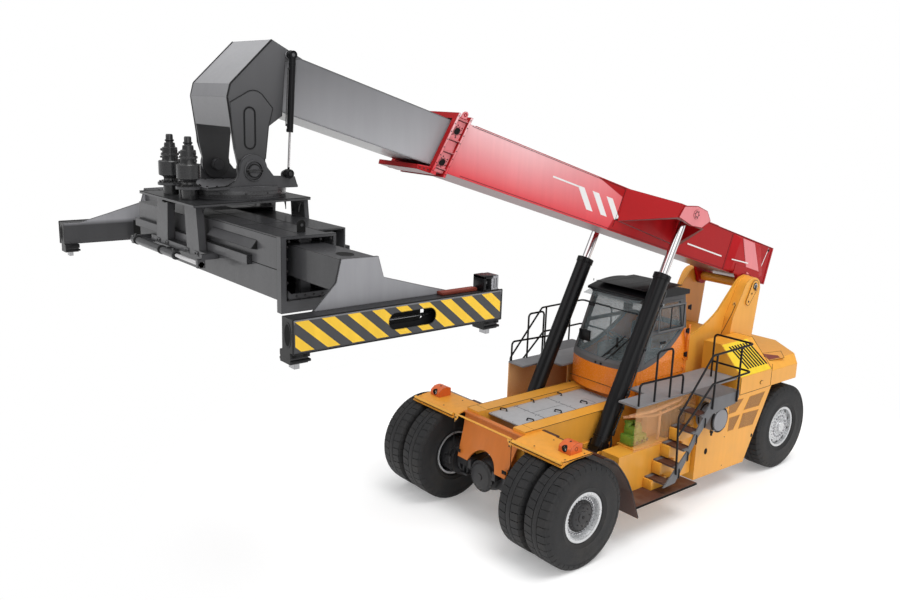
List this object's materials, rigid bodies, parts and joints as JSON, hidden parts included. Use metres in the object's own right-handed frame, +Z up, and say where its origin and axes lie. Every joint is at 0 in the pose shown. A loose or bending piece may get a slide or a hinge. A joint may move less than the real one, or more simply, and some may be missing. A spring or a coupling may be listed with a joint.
{
  "type": "reach stacker",
  "caption": "Container reach stacker with a telescopic boom, rotating spreader with sliding end beams, twin front wheels and steered rear wheels.",
  "frame": {"origin": "middle of the underside of the whole machine, at ground level", "axes": "+Z up, -Y forward out of the front of the machine, +X to its left side"},
  "size_m": [6.8, 12.6533, 7.41],
  "materials": {
    "tyre": "matt",
    "rim_silver": "satin",
    "dark_steel": "matt",
    "frame_orange": "gloss",
    "lamp_red": "gloss",
    "deck_grey": "matt",
    "counterweight": "gloss paint",
    "boom_red": "gloss",
    "attachment_grey": "satin",
    "stripe_yellow": "satin",
    "bare_steel": "satin",
    "barrel_black": "satin",
    "chrome_rod": "polished",
    "window_glass": "polished",
    "seat_fabric": "woven",
    "canister_grey": "satin"
  },
  "bodies": {
    "chassis": {"chassis_frame": "frame_orange", "front_axle": "dark_steel", "rear_axle": "dark_steel", "front_plate": "frame_orange", "mudguards": "frame_orange", "headlamps": "lamp_red", "deck_plates": "deck_grey", "walkways": "deck_grey", "side_covers": "frame_orange", "side_tanks": "frame_orange", "side_panels": "frame_orange", "engine_hood": "frame_orange", "counterweight": "counterweight", "engine_block": "dark_steel", "boom_towers": "frame_orange", "cab_body": "frame_orange", "cab_frame": "barrel_black", "cab_glass": "window_glass", "cab_roof": "barrel_black", "cab_seat": "seat_fabric", "stairs": "deck_grey", "handrails": "barrel_black", "air_cleaner": "canister_grey"},
    "cab_door": {"cab_door": "frame_orange", "cab_door_frame": "barrel_black", "door_glass": "window_glass"},
    "outer_boom": {"outer_boom": "boom_red"},
    "inner_boom": {"inner_boom": "attachment_grey", "boom_head": "attachment_grey"},
    "head_yoke": {"head_yoke": "attachment_grey", "slew_motors": "dark_steel"},
    "table": {"table_frame": "attachment_grey"},
    "spreader": {"spreader_box": "attachment_grey"},
    "lift_barrel_left": {"lift_barrel_left": "barrel_black"},
    "lift_rod_left": {"lift_rod_left": "chrome_rod"},
    "damper_barrel_left": {"damper_barrel_left": "barrel_black"},
    "damper_rod_left": {"damper_rod_left": "chrome_rod"},
    "extension_left": {"telescopic_beam_left": "attachment_grey", "end_beam_left": "stripe_yellow"},
    "twistlock_front_left": {"twistlock_front_left": "bare_steel"},
    "twistlock_rear_left": {"twistlock_rear_left": "bare_steel"},
    "front_wheels_left": {"front_tyres_left": "tyre", "front_rims_left": "rim_silver"},
    "rear_knuckle_left": {"rear_knuckle_left": "dark_steel"},
    "rear_wheel_left": {"rear_tyre_left": "tyre", "rear_wheel_left": "rim_silver"},
    "lift_barrel_right": {"lift_barrel_right": "barrel_black"},
    "lift_rod_right": {"lift_rod_right": "chrome_rod"},
    "damper_barrel_right": {"damper_barrel_right": "barrel_black"},
    "damper_rod_right": {"damper_rod_right": "chrome_rod"},
    "extension_right": {"telescopic_beam_right": "attachment_grey", "end_beam_right": "stripe_yellow"},
    "twistlock_front_right": {"twistlock_front_right": "bare_steel"},
    "twistlock_rear_right": {"twistlock_rear_right": "bare_steel"},
    "front_wheels_right": {"front_tyres_right": "tyre", "front_rims_right": "rim_silver"},
    "rear_knuckle_right": {"rear_knuckle_right": "dark_steel"},
    "rear_wheel_right": {"rear_tyre_right": "tyre", "rear_wheel_right": "rim_silver"}
  },
  "joints": [
    {"name": "boom_lift", "type": "hinge", "parent": "chassis", "child": "outer_boom", "pos_m": [0, 5.267, 3.459], "axis": [-1, 0, 0], "range_deg": [-13.95, 43.55]},
    {"name": "boom_telescope", "type": "slide", "parent": "outer_boom", "child": "inner_boom", "axis": [0, 0.9591, -0.2832], "range_m": [-4.7, 1.7]},
    {"name": "head_tilt", "type": "hinge", "parent": "inner_boom", "child": "head_yoke", "pos_m": [0, -5.205, 5.93], "axis": [1, 0, 0], "range_deg": [-13.95, 43.55]},
    {"name": "spreader_rotate", "type": "hinge", "parent": "head_yoke", "child": "table", "pos_m": [0, -5.205, 5.6], "axis": [0, 0, 1], "range_deg": [-95, 185]},
    {"name": "side_shift", "type": "slide", "parent": "table", "child": "spreader", "axis": [1, 0, 0], "range_m": [-0.6, 0.6]},
    {"name": "lift_cylinder_swing_left", "type": "hinge", "parent": "chassis", "child": "lift_barrel_left", "pos_m": [0.875, 0.768, 1.079], "axis": [1, 0, 0], "range_deg": [-8, 3]},
    {"name": "lift_cylinder_stroke_left", "type": "slide", "parent": "lift_barrel_left", "child": "lift_rod_left", "axis": [0, 0.4334, 0.9012], "range_m": [-0.75, 2.2]},
    {"name": "damper_swing_left", "type": "hinge", "parent": "inner_boom", "child": "damper_barrel_left", "pos_m": [0.6, -4.72, 7.25], "axis": [1, 0, 0], "range_deg": [-2.6, 1.1]},
    {"name": "damper_stroke_left", "type": "slide", "parent": "damper_barrel_left", "child": "damper_rod_left", "axis": [0, -0.0508, -0.9987], "range_m": [-0.305, 0.11]},
    {"name": "extend_left", "type": "slide", "parent": "spreader", "child": "extension_left", "axis": [1, 0, 0], "range_m": [-0.3235, 2.7425]},
    {"name": "twistlock_front_left_turn", "type": "hinge", "parent": "extension_left", "child": "twistlock_front_left", "pos_m": [3.25, -6.2145, 4.49], "axis": [0, 0, 1], "range_deg": [0, 90]},
    {"name": "twistlock_rear_left_turn", "type": "hinge", "parent": "extension_left", "child": "twistlock_rear_left", "pos_m": [3.25, -3.9555, 4.49], "axis": [0, 0, 1], "range_deg": [0, 90]},
    {"name": "front_wheels_spin_left", "type": "hinge", "parent": "chassis", "child": "front_wheels_left", "pos_m": [1.495, -0.69, 0.83], "axis": [1, 0, 0], "continuous": true},
    {"name": "steer_left", "type": "hinge", "parent": "chassis", "child": "rear_knuckle_left", "pos_m": [1, 5.31, 0.825], "axis": [0, 0, 1], "range_deg": [-50, 50]},
    {"name": "rear_wheel_spin_left", "type": "hinge", "parent": "rear_knuckle_left", "child": "rear_wheel_left", "pos_m": [1.39, 5.31, 0.83], "axis": [1, 0, 0], "continuous": true},
    {"name": "lift_cylinder_swing_right", "type": "hinge", "parent": "chassis", "child": "lift_barrel_right", "pos_m": [-0.875, 0.768, 1.079], "axis": [1, 0, 0], "range_deg": [-8, 3]},
    {"name": "lift_cylinder_stroke_right", "type": "slide", "parent": "lift_barrel_right", "child": "lift_rod_right", "axis": [0, 0.4334, 0.9012], "range_m": [-0.75, 2.2]},
    {"name": "damper_swing_right", "type": "hinge", "parent": "inner_boom", "child": "damper_barrel_right", "pos_m": [-0.6, -4.72, 7.25], "axis": [1, 0, 0], "range_deg": [-2.6, 1.1]},
    {"name": "damper_stroke_right", "type": "slide", "parent": "damper_barrel_right", "child": "damper_rod_right", "axis": [0, -0.0508, -0.9987], "range_m": [-0.305, 0.11]},
    {"name": "extend_right", "type": "slide", "parent": "spreader", "child": "extension_right", "axis": [-1, 0, 0], "range_m": [-0.3235, 2.7425]},
    {"name": "twistlock_front_right_turn", "type": "hinge", "parent": "extension_right", "child": "twistlock_front_right", "pos_m": [-3.25, -6.2145, 4.49], "axis": [0, 0, 1], "range_deg": [0, 90]},
    {"name": "twistlock_rear_right_turn", "type": "hinge", "parent": "extension_right", "child": "twistlock_rear_right", "pos_m": [-3.25, -3.9555, 4.49], "axis": [0, 0, 1], "range_deg": [0, 90]},
    {"name": "front_wheels_spin_right", "type": "hinge", "parent": "chassis", "child": "front_wheels_right", "pos_m": [-1.495, -0.69, 0.83], "axis": [1, 0, 0], "continuous": true},
    {"name": "steer_right", "type": "hinge", "parent": "chassis", "child": "rear_knuckle_right", "pos_m": [-1, 5.31, 0.825], "axis": [0, 0, 1], "range_deg": [-50, 50]},
    {"name": "rear_wheel_spin_right", "type": "hinge", "parent": "rear_knuckle_right", "child": "rear_wheel_right", "pos_m": [-1.39, 5.31, 0.83], "axis": [1, 0, 0], "continuous": true},
    {"name": "cab_door_swing", "type": "hinge", "parent": "chassis", "child": "cab_door", "pos_m": [0.761, 3.192, 2.164], "axis": [0, 0, 1], "range_deg": [0, 68]}
  ],
  "couplings": [
    {"joint": "lift_cylinder_swing_left", "follows": "boom_lift", "ratio": -0.1786},
    {"joint": "lift_cylinder_stroke_left", "follows": "boom_lift", "m_per_rad": 2.8457},
    {"joint": "damper_swing_left", "follows": "head_tilt", "ratio": -0.0518},
    {"joint": "damper_stroke_left", "follows": "head_tilt", "m_per_rad": -0.3907},
    {"joint": "lift_cylinder_swing_right", "follows": "boom_lift", "ratio": -0.1786},
    {"joint": "lift_cylinder_stroke_right", "follows": "boom_lift", "m_per_rad": 2.8457},
    {"joint": "damper_swing_right", "follows": "head_tilt", "ratio": -0.0518},
    {"joint": "damper_stroke_right", "follows": "head_tilt", "m_per_rad": -0.3907},
    {"joint": "steer_right", "follows": "steer_left", "ratio": 1}
  ]
}
